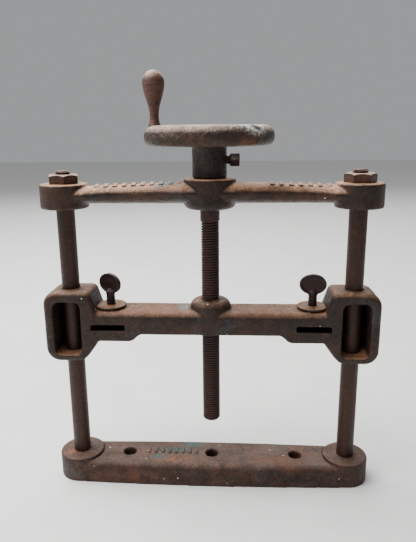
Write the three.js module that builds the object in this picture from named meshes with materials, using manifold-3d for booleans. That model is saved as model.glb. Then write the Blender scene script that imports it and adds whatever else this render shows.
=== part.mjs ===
// A bench screw press. Two guide rods stand on a cast base and carry a cast top bar. A lead screw turns in
// the top bar's centre boss, is driven by a handwheel, and raises and lowers a cast crosshead on the rods.
// Millimetres, +Z up. The origin is the centre of the base's underside, and -Y is the working side.
import * as THREE from "three";
import { mergeVertices } from "three/addons/utils/BufferGeometryUtils.js";
import Module from "manifold-3d";

const wasm = await Module();
wasm.setup();

// Clearances
const SEAT = 0.1; // between two faces that are drawn together by a nut or a screw
const END_PLAY = 0.3; // along the screw, between faces that turn on each other
const RUN = 0.2; // radial, round a piece that turns or slides in its bore
const DRILLED = 0.35; // radial, round a stud or a screw in a drilled hole

// Guide rods, with a shoulder and a reduced stud at each end
const ROD_SPACING = 254;
const ROD_D = 15.9;
const STUD_D = 12.7;
const STUD_PROUD = 3.1; // above the upper nut
const ROD_CHAMFER = 0.8;

// Nuts on the studs
const NUT_FLATS = 23.8;
const NUT_H = 7.7;
const NUT_TURN_LEFT = -11; // degrees, from a corner on the X axis
const NUT_TURN_RIGHT = -5;

// Base casting
const BASE_BAR_H = 21;
const BASE_BOSS_H = 23.8;
const BASE_BOSS_R = 20.9;
const BASE_BOW = 3; // how far each side bulges at mid-length
const BASE_EDGE = 6; // rounding of the bar's upper edge
const BASE_HOLE_D = 11.5;
const BASE_HOLE_PITCH = 80;
const NUT_ROOM = 1.3; // radial, round a nut's corners in its recess under the base
const NUT_SUNK = 1.8; // of the recessed nut's face above the underside

// Top bar
const DAYLIGHT = 235.8; // from the base bosses to the top bar's end bosses
const TOP_BOSS_H = 21.4;
const TOP_BOSS_R = 21;
const CENTRE_BOSS_R = 22.4;
const CENTRE_BOSS_DROP = 0.6; // below the end bosses
const CENTRE_BOSS_RISE = 3.9; // above the end bosses
const CENTRE_BOSS_ROUND = 5; // of its lower edge
const ARM_FOOT = 3.9; // arm's level underside above that of the end bosses
const ARM_ROOT = { width: 28, height: 19.4 };
const ARM_TIP_HEIGHT = 14.6; // the arm narrows in the same share

// Lead screw
const SCREW_D = 15.9;
const SHOULDER_D = 17;
const SHOULDER_H = 10.4; // plain length under the centre boss
const JOURNAL_D = 12.7;
const SCREW_END_Z = 59;

// Handwheel
const WHEEL_D = 109.2;
const RIM_WIDTH = 17.6;
const RIM_H = 16.2;
const RIM_LIFT = 27; // from the hub's foot to the rim's underside
const HUB_R = 14.6;
const HUB_H = 40;
const SPOKES = 4;
const SPOKE = { width: 14, height: 9 };

// Set screw in the hub
const SET_D = 7.9;
const SET_HEAD_FLATS = 7.9;
const SET_HEAD_LENGTH = 8;
const SET_NECK = 3; // from the hub to the head
const SET_LIFT = 14.8; // above the hub's foot

// Crank handle, a turned pear with its shank in the rim
const HANDLE_H = 44.6; // above the rim
const HANDLE_R = 9.4;
const HANDLE_BELLY = 12; // from its widest place to its top
const HANDLE_NECK_R = 3.8;
const HANDLE_NECK = 9; // height of its narrowest place
const HANDLE_FOOT_R = 5.2;
const HANDLE_FOOT = 0.4; // gap between the rim and the foot
const SHANK_D = 6.4;
const SHANK_HEAD_D = 9.5;
const SHANK_HEAD_H = 2; // the shank's spread lower end, sunk in the rim's underside
const SHANK_SUNK = 1;

// Crosshead. Heights are from the middle of its tool slots.
const CROSSHEAD_Z = 155; // the slots' height at rest
const HEAD_HALF_DEPTH = 19;
const HEAD_EDGE = 4; // rounding of its long edges
const BAR_TOP = 14;
const BAR_BOTTOM = -7;
const SWELL_BOTTOM = -13.5;
const SWELL_REACH = 30; // of the swell under the slot, inboard of the slot's centre
const SWELL_RUN = 10; // length of the swell's slope
const SWELL_ROUND = 1.2; // drop of the first and last part of that slope
const BOX_TOP = 32.5;
const BOX_BOTTOM = -33;
const BOX_OUTBOARD = 21.8; // from the rod's axis
const BOX_INBOARD = 14.5;
const BOX_CORNER = 12;
const BOX_SLOPE = 12; // how far the box's inner sides lean towards the bar
const BOX_SHOULDER = 4; // size of the broken corner at the top and bottom of each inner side
const POCKET = { width: 25, height: 49.5, corner: 5.5, outset: 0.6, drop: 1.6, back: 6 };
const SLOT = { length: 30, height: 5.2, corner: 1.6 };
const SLOT_INSET = 36; // from the rod's axis to the slot's centre
const THUMB_BOSS_R = 14;
const THUMB_BOSS_RISE = 3;
const NUT_BOSS_R = 18.4;
const NUT_BOSS_RISE = 9;
const NUT_BOSS_ROUND = 7;

// Thumb screws
const THUMB_D = 7.9;
const THUMB_HEAD = { width: 24, height: 18.4, thick: 3.8 };
const THUMB_LIFT = 10.1; // of the head's lower edge above its boss
const THUMB_TIP = 1.4; // of the shank's tip above the slot
const THUMB_TURN_LEFT = -31; // degrees
const THUMB_TURN_RIGHT = 0;

// Levels that follow from the sizes
const TOP_Z = BASE_BOSS_H + DAYLIGHT;
const TOP_BOSS_Z = TOP_Z + TOP_BOSS_H;
const CENTRE_FOOT_Z = TOP_Z - CENTRE_BOSS_DROP;
const CENTRE_TOP_Z = TOP_BOSS_Z + CENTRE_BOSS_RISE;
const HUB_Z = CENTRE_TOP_Z + END_PLAY;
const RIM_Z = HUB_Z + RIM_LIFT;
const RIM_R = (WHEEL_D - RIM_WIDTH) / 2;
const ROD_X = ROD_SPACING / 2;
const SLOT_X = ROD_X - SLOT_INSET;
const NUT_CORNER_R = NUT_FLATS / Math.sqrt(3);
const NUT_RECESS_DEPTH = NUT_SUNK + NUT_H + SEAT;

// Solids

function solid(geometry) {
  geometry.deleteAttribute("normal");
  geometry.deleteAttribute("uv");
  const merged = mergeVertices(geometry, 1e-4);
  const vertProperties = new Float32Array(merged.attributes.position.array);
  return new wasm.Manifold(new wasm.Mesh({
    numProp: 3,
    vertProperties,
    triVerts: new Uint32Array(merged.index.array),
  }));
}

function join(parts) {
  return parts.reduce((whole, part) => whole.add(part));
}

function cut(body, tools) {
  return tools.reduce((rest, tool) => rest.subtract(tool), body);
}

function shell(manifold) {
  const mesh = manifold.getMesh();
  const geometry = new THREE.BufferGeometry();
  geometry.setAttribute("position", new THREE.BufferAttribute(mesh.vertProperties, 3));
  geometry.setIndex(new THREE.BufferAttribute(mesh.triVerts, 1));
  geometry.computeVertexNormals();
  return geometry;
}

// A solid of revolution about Z. The profile runs up from the axis to the axis as [radius, height].
function turned(profile, sides = 28) {
  const points = profile.map(([r, z]) => new THREE.Vector2(r, z));
  return solid(new THREE.LatheGeometry(points, sides).rotateX(Math.PI / 2));
}

// A plain cylinder on Z from one height to another
function drum(r, low, high, sides = 24) {
  return turned([[0, low], [r, low], [r, high], [0, high]], sides);
}

// A cylinder on Z with a small chamfer at each end
function chamfered(r, low, high, chamfer, sides = 32) {
  return turned([
    [0, low], [r - chamfer, low], [r, low + chamfer],
    [r, high - chamfer], [r - chamfer, high], [0, high],
  ], sides);
}

// Points on a quarter ellipse from one [radius, height] to another, both ends included
function quarter(from, to, steps, bulge) {
  const points = [];
  for (let i = 0; i <= steps; i++) {
    const a = (i / steps) * Math.PI / 2;
    const across = bulge === "first-up" ? 1 - Math.cos(a) : Math.sin(a);
    const up = bulge === "first-up" ? Math.sin(a) : 1 - Math.cos(a);
    points.push([from[0] + (to[0] - from[0]) * across, from[1] + (to[1] - from[1]) * up]);
  }
  return points;
}

// A front-view outline (x, z) given thickness along Y from one y to another, with rounded long edges
function profiled(shape, front, back, edge = 0, curveSegments = 8) {
  const geometry = new THREE.ExtrudeGeometry(shape, {
    depth: back - front - 2 * edge,
    curveSegments,
    bevelEnabled: edge > 0,
    bevelThickness: edge,
    bevelSize: edge,
    bevelOffset: -edge,
    bevelSegments: 2,
  });
  return solid(geometry.rotateX(Math.PI / 2).translate(0, back - edge, 0));
}

function roundedRectangle(width, height, corner) {
  const shape = new THREE.Shape();
  const x = width / 2;
  const z = height / 2;
  shape.moveTo(-x + corner, -z);
  shape.lineTo(x - corner, -z);
  shape.absarc(x - corner, -z + corner, corner, -Math.PI / 2, 0);
  shape.lineTo(x, z - corner);
  shape.absarc(x - corner, z - corner, corner, 0, Math.PI / 2);
  shape.lineTo(-x + corner, z);
  shape.absarc(-x + corner, z - corner, corner, Math.PI / 2, Math.PI);
  shape.lineTo(-x, -z + corner);
  shape.absarc(-x + corner, -z + corner, corner, Math.PI, 1.5 * Math.PI);
  return shape;
}

// Frame

function baseOutline() {
  const shape = new THREE.Shape();
  const r = BASE_BOSS_R;
  shape.moveTo(-ROD_X, -r);
  shape.quadraticCurveTo(0, -r - 2 * BASE_BOW, ROD_X, -r);
  shape.absarc(ROD_X, 0, r, -Math.PI / 2, Math.PI / 2);
  shape.quadraticCurveTo(0, r + 2 * BASE_BOW, -ROD_X, r);
  shape.absarc(-ROD_X, 0, r, Math.PI / 2, 1.5 * Math.PI);
  return shape;
}

function baseCasting() {
  const bar = solid(new THREE.ExtrudeGeometry(baseOutline(), {
    depth: BASE_BAR_H - BASE_EDGE,
    curveSegments: 8,
    bevelThickness: BASE_EDGE,
    bevelSize: BASE_EDGE,
    bevelOffset: -BASE_EDGE,
    bevelSegments: 2,
  }));
  const below = solid(new THREE.BoxGeometry(2 * ROD_SPACING, ROD_SPACING, 2 * BASE_EDGE)
    .translate(0, 0, -BASE_EDGE));
  const foot = solid(new THREE.ExtrudeGeometry(baseOutline(), {
    depth: BASE_EDGE,
    curveSegments: 8,
    bevelEnabled: false,
  }));
  const bosses = [-ROD_X, ROD_X].map((x) =>
    chamfered(BASE_BOSS_R, 0, BASE_BOSS_H, 1).translate(x, 0, 0));
  const holes = [-BASE_HOLE_PITCH, 0, BASE_HOLE_PITCH].map((x) =>
    drum(BASE_HOLE_D / 2, -1, BASE_BOSS_H + 1, 20).translate(x, 0, 0));
  const studs = [-ROD_X, ROD_X].map((x) => join([
    drum(STUD_D / 2 + DRILLED, -1, BASE_BOSS_H + 1, 20),
    drum(NUT_CORNER_R + NUT_ROOM, -1, NUT_RECESS_DEPTH),
  ]).translate(x, 0, 0));
  return cut(join([cut(bar, [below]), foot, ...bosses]), [...holes, ...studs]);
}

function guideRod() {
  const r = ROD_D / 2;
  const stud = STUD_D / 2;
  const foot = NUT_SUNK - 1;
  const top = TOP_BOSS_Z + SEAT + NUT_H + STUD_PROUD;
  return turned([
    [0, foot], [stud - ROD_CHAMFER, foot], [stud, foot + ROD_CHAMFER],
    [stud, BASE_BOSS_H + SEAT], [r, BASE_BOSS_H + SEAT],
    [r, TOP_Z - SEAT], [stud, TOP_Z - SEAT],
    [stud, top - ROD_CHAMFER], [stud - ROD_CHAMFER, top], [0, top],
  ], 24);
}

// A hexagon nut on Z with its lower face at height 0 and its upper corners chamfered
function nut() {
  const corner = NUT_CORNER_R;
  const flat = NUT_FLATS / 2;
  const prism = solid(new THREE.CylinderGeometry(corner, corner, NUT_H, 6)
    .rotateX(Math.PI / 2).rotateZ(Math.PI / 2).translate(0, 0, NUT_H / 2));
  const crown = turned([
    [0, -1], [corner + 1, -1], [corner + 1, NUT_H - 2 * (corner + 1 - flat)],
    [flat, NUT_H], [0, NUT_H],
  ], 24);
  return cut(prism.intersect(crown), [drum(STUD_D / 2 + DRILLED, -1, NUT_H + 1, 20)]);
}

// An oval bar that tapers outwards, tilted so that its underside stays level
function arm(side) {
  const length = ROD_X;
  const taper = ARM_TIP_HEIGHT / ARM_ROOT.height;
  const tilt = Math.atan((ARM_ROOT.height - ARM_TIP_HEIGHT) / 2 / length);
  const geometry = new THREE.CylinderGeometry(taper, 1, length, 24)
    .rotateZ(-side * Math.PI / 2)
    .scale(1, ARM_ROOT.width / 2, ARM_ROOT.height / 2)
    .translate(side * length / 2, 0, 0)
    .rotateY(side * tilt)
    .translate(0, 0, TOP_Z + ARM_FOOT + ARM_ROOT.height / 2);
  return solid(geometry);
}

function topBar() {
  const foot = CENTRE_FOOT_Z;
  const edge = [CENTRE_BOSS_R, foot + CENTRE_BOSS_ROUND];
  const centre = turned([
    [0, foot],
    ...quarter([CENTRE_BOSS_R - CENTRE_BOSS_ROUND, foot], edge, 3, "first-across"),
    [CENTRE_BOSS_R, CENTRE_TOP_Z - 1], [CENTRE_BOSS_R - 1, CENTRE_TOP_Z], [0, CENTRE_TOP_Z],
  ], 36);
  const ends = [-ROD_X, ROD_X].map((x) =>
    chamfered(TOP_BOSS_R, TOP_Z, TOP_BOSS_Z, 1.2).translate(x, 0, 0));
  const journal = drum(JOURNAL_D / 2 + RUN, foot - 1, CENTRE_TOP_Z + 1);
  const studs = [-ROD_X, ROD_X].map((x) =>
    drum(STUD_D / 2 + DRILLED, TOP_Z - 1, TOP_BOSS_Z + 1, 20).translate(x, 0, 0));
  return cut(join([centre, arm(-1), arm(1), ...ends]), [journal, ...studs]);
}

// Screw and wheel

function leadScrew() {
  const r = SCREW_D / 2;
  const plain = CENTRE_FOOT_Z - END_PLAY;
  const top = HUB_Z + HUB_H - 1.5;
  return turned([
    [0, SCREW_END_Z], [r - 2.5, SCREW_END_Z], [r - 0.9, SCREW_END_Z + 0.9], [r, SCREW_END_Z + 2.5],
    [r, plain - SHOULDER_H], [SHOULDER_D / 2, plain - SHOULDER_H],
    [SHOULDER_D / 2, plain], [JOURNAL_D / 2, plain],
    [JOURNAL_D / 2, top - ROD_CHAMFER], [JOURNAL_D / 2 - ROD_CHAMFER, top], [0, top],
  ], 24);
}

function rim() {
  const points = [];
  const steps = 12;
  for (let i = 0; i <= steps; i++) {
    const a = (i / steps) * 2 * Math.PI;
    const x = RIM_R + (RIM_WIDTH / 2) * Math.cos(a);
    points.push(new THREE.Vector2(x, (RIM_H / 2) * Math.sin(a)));
  }
  const geometry = new THREE.LatheGeometry(points, 48);
  return solid(geometry.rotateX(Math.PI / 2).translate(0, 0, RIM_Z + RIM_H / 2));
}

function spoke(angle) {
  const geometry = new THREE.CylinderGeometry(1, 1, RIM_R, 14)
    .rotateZ(-Math.PI / 2)
    .scale(1, SPOKE.width / 2, SPOKE.height / 2)
    .translate(RIM_R / 2, 0, RIM_Z + RIM_H / 2)
    .rotateZ(angle);
  return solid(geometry);
}

function handwheel() {
  const spokes = Array.from({ length: SPOKES }, (_, i) => spoke((i * 2 * Math.PI) / SPOKES));
  const hub = chamfered(HUB_R, HUB_Z, HUB_Z + HUB_H, 0.8, 36);
  const bore = drum(JOURNAL_D / 2 + RUN, HUB_Z - 1, HUB_Z + HUB_H + 1);
  const tapped = drum(SET_D / 2 + RUN, 0, HUB_R + 1, 20)
    .rotate([0, 90, 0]).translate(0, 0, HUB_Z + SET_LIFT);
  const handleHole = join([
    drum(SHANK_D / 2 + RUN, RIM_Z - 1, RIM_Z + RIM_H + 1, 20),
    drum(SHANK_HEAD_D / 2 + RUN, RIM_Z - 1, RIM_Z + SHANK_SUNK + SHANK_HEAD_H + RUN, 20),
  ]).translate(-RIM_R, 0, 0);
  return cut(join([rim(), hub, ...spokes]), [bore, tapped, handleHole]);
}

// On the X axis, with its tip at the journal
function hubSetScrew() {
  const r = SET_D / 2;
  const tip = JOURNAL_D / 2 + SEAT + RUN;
  const headFoot = HUB_R + SET_NECK;
  const shank = turned([
    [0, tip], [r - 1.5, tip], [r, tip + 1.5], [r, HUB_R + 0.6],
    [r - 0.8, HUB_R + 1], [r - 0.8, headFoot + 1], [0, headFoot + 1],
  ], 20);
  const head = solid(new THREE.BoxGeometry(SET_HEAD_FLATS, SET_HEAD_FLATS, SET_HEAD_LENGTH)
    .rotateZ(Math.PI / 4).translate(0, 0, headFoot + SET_HEAD_LENGTH / 2));
  return join([shank, head]).rotate([0, 90, 0]);
}

// On its own axis, with height 0 at the top of the rim
function crankHandle() {
  const shank = SHANK_D / 2;
  const tail = SHANK_SUNK - RIM_H;
  const foot = HANDLE_FOOT;
  const belly = HANDLE_H - HANDLE_BELLY;
  const profile = [
    [0, tail], [SHANK_HEAD_D / 2, tail], [SHANK_HEAD_D / 2, tail + SHANK_HEAD_H / 2],
    [shank, tail + SHANK_HEAD_H],
    [shank, foot], [HANDLE_FOOT_R, foot], [HANDLE_FOOT_R - 0.3, foot + 1.2],
    [HANDLE_NECK_R + 0.3, foot + 4], [HANDLE_NECK_R, HANDLE_NECK],
  ];
  for (let i = 1; i < 6; i++) {
    const t = i / 6;
    const swell = t * t * (3 - 2 * t);
    const r = HANDLE_NECK_R + (HANDLE_R - HANDLE_NECK_R) * swell;
    profile.push([r, HANDLE_NECK + (belly - HANDLE_NECK) * t]);
  }
  profile.push(...quarter([HANDLE_R, belly], [0, HANDLE_H], 6, "first-up"));
  return turned(profile, 20);
}

// Crosshead

function crossheadOutline() {
  const swell = SLOT_X - SWELL_REACH;
  const inner = ROD_X - BOX_INBOARD;
  const outer = ROD_X + BOX_OUTBOARD;
  const corner = (z, from) => {
    const points = [];
    for (let i = 0; i <= 4; i++) {
      const a = from + (i / 4) * Math.PI / 2;
      points.push([outer - BOX_CORNER + BOX_CORNER * Math.cos(a), z + BOX_CORNER * Math.sin(a)]);
    }
    return points;
  };
  const right = [
    [swell, BAR_BOTTOM],
    [swell + SWELL_RUN * 0.35, BAR_BOTTOM - SWELL_ROUND],
    [swell + SWELL_RUN * 0.75, SWELL_BOTTOM + SWELL_ROUND],
    [swell + SWELL_RUN, SWELL_BOTTOM],
    [inner - BOX_SLOPE, SWELL_BOTTOM - 1],
    [inner - BOX_SHOULDER * 0.4, BOX_BOTTOM + BOX_SHOULDER],
    [inner + BOX_SHOULDER, BOX_BOTTOM],
    ...corner(BOX_BOTTOM + BOX_CORNER, -Math.PI / 2),
    ...corner(BOX_TOP - BOX_CORNER, 0),
    [inner, BOX_TOP],
    [inner - BOX_SHOULDER, BOX_TOP - BOX_SHOULDER * 0.7],
    [inner - BOX_SLOPE + 1, BAR_TOP + 2],
    [inner - BOX_SLOPE - 3, BAR_TOP],
  ];
  const left = right.map(([x, z]) => [-x, z]).reverse();
  return new THREE.Shape([...right, ...left].map(([x, z]) => new THREE.Vector2(x, z)));
}

function crossheadPocket(side) {
  const { width, height, corner, outset, drop, back } = POCKET;
  const mouth = roundedRectangle(width, height, corner);
  return profiled(mouth, -HEAD_HALF_DEPTH - 1, HEAD_HALF_DEPTH - back, 0, 4)
    .translate(side * (ROD_X + outset), 0, -drop);
}

function toolSlot(side) {
  const mouth = roundedRectangle(SLOT.length, SLOT.height, SLOT.corner);
  return profiled(mouth, -HEAD_HALF_DEPTH - 1, HEAD_HALF_DEPTH + 1, 0, 3)
    .translate(side * SLOT_X, 0, 0);
}

function crosshead() {
  const body = profiled(crossheadOutline(), -HEAD_HALF_DEPTH, HEAD_HALF_DEPTH, HEAD_EDGE);
  const nutTop = BAR_TOP + NUT_BOSS_RISE;
  const nutEdge = [NUT_BOSS_R - NUT_BOSS_ROUND, nutTop];
  const nutBoss = turned([
    [0, 0], [NUT_BOSS_R, 0],
    ...quarter([NUT_BOSS_R, nutTop - NUT_BOSS_ROUND], nutEdge, 4, "first-up"),
    [0, nutTop],
  ], 36);
  const discTop = BAR_TOP + THUMB_BOSS_RISE;
  const sides = [-1, 1];
  const thumbBosses = sides.map((s) =>
    chamfered(THUMB_BOSS_R, 0, discTop, 0.8).translate(s * SLOT_X, 0, 0));
  const rodBores = sides.map((s) =>
    drum(ROD_D / 2 + RUN, BOX_BOTTOM - 1, BOX_TOP + 1).translate(s * ROD_X, 0, 0));
  const thumbHoles = sides.map((s) =>
    drum(THUMB_D / 2 + RUN, 0, discTop + 1, 20).translate(s * SLOT_X, 0, 0));
  const screwBore = drum(SCREW_D / 2 + RUN, BAR_BOTTOM - 1, nutTop + 1);
  return cut(join([body, nutBoss, ...thumbBosses]),
    [...sides.map(crossheadPocket), ...sides.map(toolSlot), ...rodBores, ...thumbHoles, screwBore]);
}

// On its own axis, with height 0 at the middle of the slot
function thumbScrew() {
  const r = THUMB_D / 2;
  const tip = SLOT.height / 2 + THUMB_TIP;
  const headFoot = BAR_TOP + THUMB_BOSS_RISE + THUMB_LIFT;
  const centre = headFoot + THUMB_HEAD.height / 2;
  const shank = turned([
    [0, tip], [r - 1, tip], [r, tip + 1], [r, headFoot + 1], [r * 0.4, centre], [0, centre],
  ], 20);
  const head = solid(new THREE.CylinderGeometry(1, 1, THUMB_HEAD.thick, 28)
    .scale(THUMB_HEAD.width / 2, 1, THUMB_HEAD.height / 2).translate(0, 0, centre));
  return join([shank, head]);
}

// Assembly

const IRON = { color: 0x5a463e, roughness: 0.85, metalness: 0.3 };
const PAINTED_IRON = { color: 0x57494a, roughness: 0.8, metalness: 0.25 };
const STEEL = { color: 0x49332d, roughness: 0.7, metalness: 0.45 };
const HANDLE_IRON = { color: 0x7a5c52, roughness: 0.75, metalness: 0.3 };

const press = new THREE.Group();

function place(parent, name, manifold, look, { x = 0, z = 0, turn = 0 } = {}) {
  const mesh = new THREE.Mesh(shell(manifold), new THREE.MeshStandardMaterial(look));
  mesh.name = name;
  mesh.position.set(x, 0, z);
  mesh.rotation.z = THREE.MathUtils.degToRad(turn);
  parent.add(mesh);
}

place(press, "base_casting", baseCasting(), IRON);
place(press, "top_bar", topBar(), PAINTED_IRON);
place(press, "lead_screw", leadScrew(), STEEL);
for (const [side, sign, turn] of [["left", -1, NUT_TURN_LEFT], ["right", 1, NUT_TURN_RIGHT]]) {
  place(press, `guide_rod_${side}`, guideRod(), STEEL, { x: sign * ROD_X });
  place(press, `rod_nut_${side}`, nut(), STEEL, { x: sign * ROD_X, z: TOP_BOSS_Z + SEAT, turn });
  place(press, `base_nut_${side}`, nut(), STEEL, { x: sign * ROD_X, z: NUT_SUNK, turn });
}

const wheel = new THREE.Group();
press.add(wheel);
place(wheel, "handwheel", handwheel(), IRON);
place(wheel, "hub_set_screw", hubSetScrew(), STEEL, { z: HUB_Z + SET_LIFT });
place(wheel, "crank_handle", crankHandle(), HANDLE_IRON, { x: -RIM_R, z: RIM_Z + RIM_H });

const carriage = new THREE.Group();
carriage.position.z = CROSSHEAD_Z;
press.add(carriage);
place(carriage, "crosshead", crosshead(), PAINTED_IRON);
place(carriage, "thumb_screw_left", thumbScrew(), STEEL, { x: -SLOT_X, turn: THUMB_TURN_LEFT });
place(carriage, "thumb_screw_right", thumbScrew(), STEEL, { x: SLOT_X, turn: THUMB_TURN_RIGHT });

export default press;
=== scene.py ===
import math

import bmesh
import bpy
from mathutils import Matrix, Vector, noise

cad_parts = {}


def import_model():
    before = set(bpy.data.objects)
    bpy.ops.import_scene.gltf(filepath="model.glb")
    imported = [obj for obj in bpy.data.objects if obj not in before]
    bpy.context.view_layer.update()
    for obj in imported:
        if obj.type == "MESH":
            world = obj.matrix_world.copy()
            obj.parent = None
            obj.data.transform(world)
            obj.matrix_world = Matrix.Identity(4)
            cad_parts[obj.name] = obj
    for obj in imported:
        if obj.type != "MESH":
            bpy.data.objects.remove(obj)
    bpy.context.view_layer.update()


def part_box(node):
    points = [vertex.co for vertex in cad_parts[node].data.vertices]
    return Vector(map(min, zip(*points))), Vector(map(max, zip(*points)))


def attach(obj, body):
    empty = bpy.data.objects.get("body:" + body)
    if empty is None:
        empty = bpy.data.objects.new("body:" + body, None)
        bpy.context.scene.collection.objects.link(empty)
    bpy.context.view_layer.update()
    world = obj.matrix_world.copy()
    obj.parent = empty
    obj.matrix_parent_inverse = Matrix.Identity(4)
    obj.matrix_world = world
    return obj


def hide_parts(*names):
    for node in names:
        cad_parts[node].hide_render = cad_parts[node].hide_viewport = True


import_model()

# A bench screw press of rusted cast iron and steel. Pieces are shaped in millimetres and scaled to metres
# when they are finished. Places come from the frame; the sizes below are those that the frame's boxes don't
# give by themselves.
MM = 0.001
INCH = 25.4


def box_mm(node):
    """Lowest and highest corner of a CAD node, in millimetres."""
    low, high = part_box(node)
    return low / MM, high / MM


ROD_LOW, ROD_HIGH = box_mm("guide_rod_right")
BASE_HIGH = box_mm("base_casting")[1]
TOP_LOW, TOP_HIGH = box_mm("top_bar")
SCREW_LOW, SCREW_HIGH = box_mm("lead_screw")
WHEEL_LOW, WHEEL_HIGH = box_mm("handwheel")
HANDLE_LOW, HANDLE_HIGH = box_mm("crank_handle")
HEAD_LOW, HEAD_HIGH = box_mm("crosshead")
SET_LOW, SET_HIGH = box_mm("hub_set_screw")
NUT_LOW = box_mm("rod_nut_right")[0]

ROD_X = (ROD_LOW.x + ROD_HIGH.x) / 2
ROD_R = (ROD_HIGH.x - ROD_LOW.x) / 2

# Base casting
BASE_BOSS_R = BASE_HIGH.x - ROD_X
BASE_BOSS_Z = BASE_HIGH.z
BASE_BAR_Z = BASE_BOSS_Z - 2.8
BASE_BOW = 3.0  # how far each long side swells at the middle
BASE_DRAFT = 0.97  # width at the top, as a share of the width at the foot
BASE_EDGE = 6.5
BASE_HOLE_R = 5.75
BASE_HOLE_PITCH = 80.0
BASE_MARK = (2.6, 9.0, 2.4)
NUT_RECESS_R = 15.0
NUT_RECESS_Z = 9.6

# Threaded ends of the guide rods: 1/2 in, 13 threads to the inch
STUD_R = 6.35
STUD_PITCH = INCH / 13
STUD_DEPTH = 1.1
STUD_HOLE_R = STUD_R + 0.35

# Top bar
TOP_BOSS_R = TOP_HIGH.x - ROD_X
TOP_BOSS_Z = NUT_LOW.z - 0.1
END_FOOT_Z = TOP_LOW.z + 0.6
CENTRE_R = 22.4
CENTRE_FOOT_Z = TOP_LOW.z
CENTRE_TOP_Z = TOP_HIGH.z
ARM_FOOT_Z = END_FOOT_Z + 3.9
ARM_ROOT_R = 9.7
ARM_TIP_R = 7.3
ARM_WIDTH = 1.45  # the oval section's width as a share of its height
ARM_MARK = (4.0, 8.5, 2.6)

# Lead screw: about 5/8 in, 11 threads to the inch
THREAD_R = 8.0
THREAD_PITCH = INCH / 11
THREAD_DEPTH = 1.3
CREST_SHARE = 0.42  # crest and flank as shares of the pitch
FLANK_SHARE = 0.21
JOURNAL_R = 6.35
SHOULDER_R = SCREW_HIGH.x
SHOULDER_H = 10.4
RUNNING_ROOM = 0.2  # round the screw and its journal

# Thumb screws and set screw: 5/16 in, 18 threads to the inch
SMALL_PITCH = INCH / 18
SMALL_DEPTH = 0.8
THUMB_HOLE_R = 4.15

# Crosshead, with heights from the middle of its tool slots
HEAD_Z = HEAD_LOW.z + 33
HEAD_DEPTH = HEAD_HIGH.y  # half the depth
HEAD_INSET = 0.7  # the bar's face lies this far behind the end boxes'
BAR_END_X = ROD_X - 18
SLOT_X = ROD_X - 36
SLOT_HALF_LENGTH = 15.3
SLOT_HALF_HEIGHT = 2.7
BACK_WALL = 6  # behind a pocket
ROD_ROOM = 0.25


# Grain of the skin that fuses a casting's solids. Details smaller than it are lost.
CASTING_SKIN = 0.85
HEAD_SKIN = 0.95
GRIP_SKIN = 0.4


# Shapes


def full_turn(bm, geom, steps):
    """Spins a section once round Z and closes the seam."""
    bmesh.ops.spin(bm, geom=geom, cent=(0, 0, 0), axis=(0, 0, 1), dvec=(0, 0, 0), angle=math.tau, steps=steps,
                   use_merge=True, use_duplicate=False)
    bmesh.ops.remove_doubles(bm, verts=bm.verts, dist=1e-4)
    bmesh.ops.recalc_face_normals(bm, faces=bm.faces)
    return bm


def spun(profile, steps=64):
    """A solid turned about Z from a list of (radius, height), or a ring where it starts off the axis."""
    bm = bmesh.new()
    verts = [bm.verts.new((r, 0, z)) for r, z in profile]
    ends = list(zip(verts, verts[1:]))
    if profile[0][0] > 0:
        ends.append((verts[-1], verts[0]))
    edges = [bm.edges.new(pair) for pair in ends]
    return full_turn(bm, verts + edges, steps)


def rod(r, low, high, steps=48, chamfer=0.0):
    """A cylinder on Z between two heights, with chamfered ends."""
    c = chamfer
    ends = [(r, low), (r, high)] if c == 0 else [(r - c, low), (r, low + c), (r, high - c), (r - c, high)]
    return spun([(0, low), *ends, (0, high)], steps)


def oblong(half_x, half_y):
    """A rectangular outline round the origin."""
    return [(-half_x, -half_y), (half_x, -half_y), (half_x, half_y), (-half_x, half_y)]


def slab(outline, low, high):
    """A flat outline of (x, y) given thickness along Z."""
    bm = bmesh.new()
    face = bm.faces.new([bm.verts.new((x, y, low)) for x, y in outline])
    walls = bmesh.ops.extrude_face_region(bm, geom=[face])["geom"]
    top = [v for v in walls if isinstance(v, bmesh.types.BMVert)]
    bmesh.ops.translate(bm, verts=top, vec=(0, 0, high - low))
    bmesh.ops.recalc_face_normals(bm, faces=bm.faces)
    return bm


def block(size, centre):
    """A rectangular block."""
    bm = bmesh.new()
    bmesh.ops.create_cube(bm, size=1.0)
    bmesh.ops.scale(bm, vec=size, verts=bm.verts)
    bmesh.ops.translate(bm, vec=centre, verts=bm.verts)
    return bm


def rounded(bm, edges, radius, segments=4, clamp=True):
    """Rounds some edges of a solid. A radius that is held back by short edges is kept where clamp is off."""
    bmesh.ops.bevel(bm, geom=edges, offset=radius, offset_type="OFFSET", segments=segments,
                    profile=0.5, affect="EDGES", material=-1, clamp_overlap=clamp)
    return bm


def upright(bm, tolerance=1e-3):
    """The edges that run along Z."""
    return [e for e in bm.edges
            if abs(e.verts[0].co.x - e.verts[1].co.x) < tolerance
            and abs(e.verts[0].co.y - e.verts[1].co.y) < tolerance]


def level(bm, z, tolerance=1e-3):
    """The edges that lie at one height."""
    return [e for e in bm.edges if all(abs(v.co.z - z) < tolerance for v in e.verts)]


def reaching(bm, axis, length):
    """The edges that reach further than a length along an axis, numbered from 0 for X."""
    return [e for e in bm.edges if abs(e.verts[0].co[axis] - e.verts[1].co[axis]) > length]


def sliced(bm, place, normal, clear=True):
    """Cuts a solid along a plane. What lies on the normal's side is cleared away and the cut left open."""
    geom = bm.verts[:] + bm.edges[:] + bm.faces[:]
    bmesh.ops.bisect_plane(bm, geom=geom, dist=1e-5, plane_co=place, plane_no=normal, clear_outer=clear)
    return bm


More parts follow.
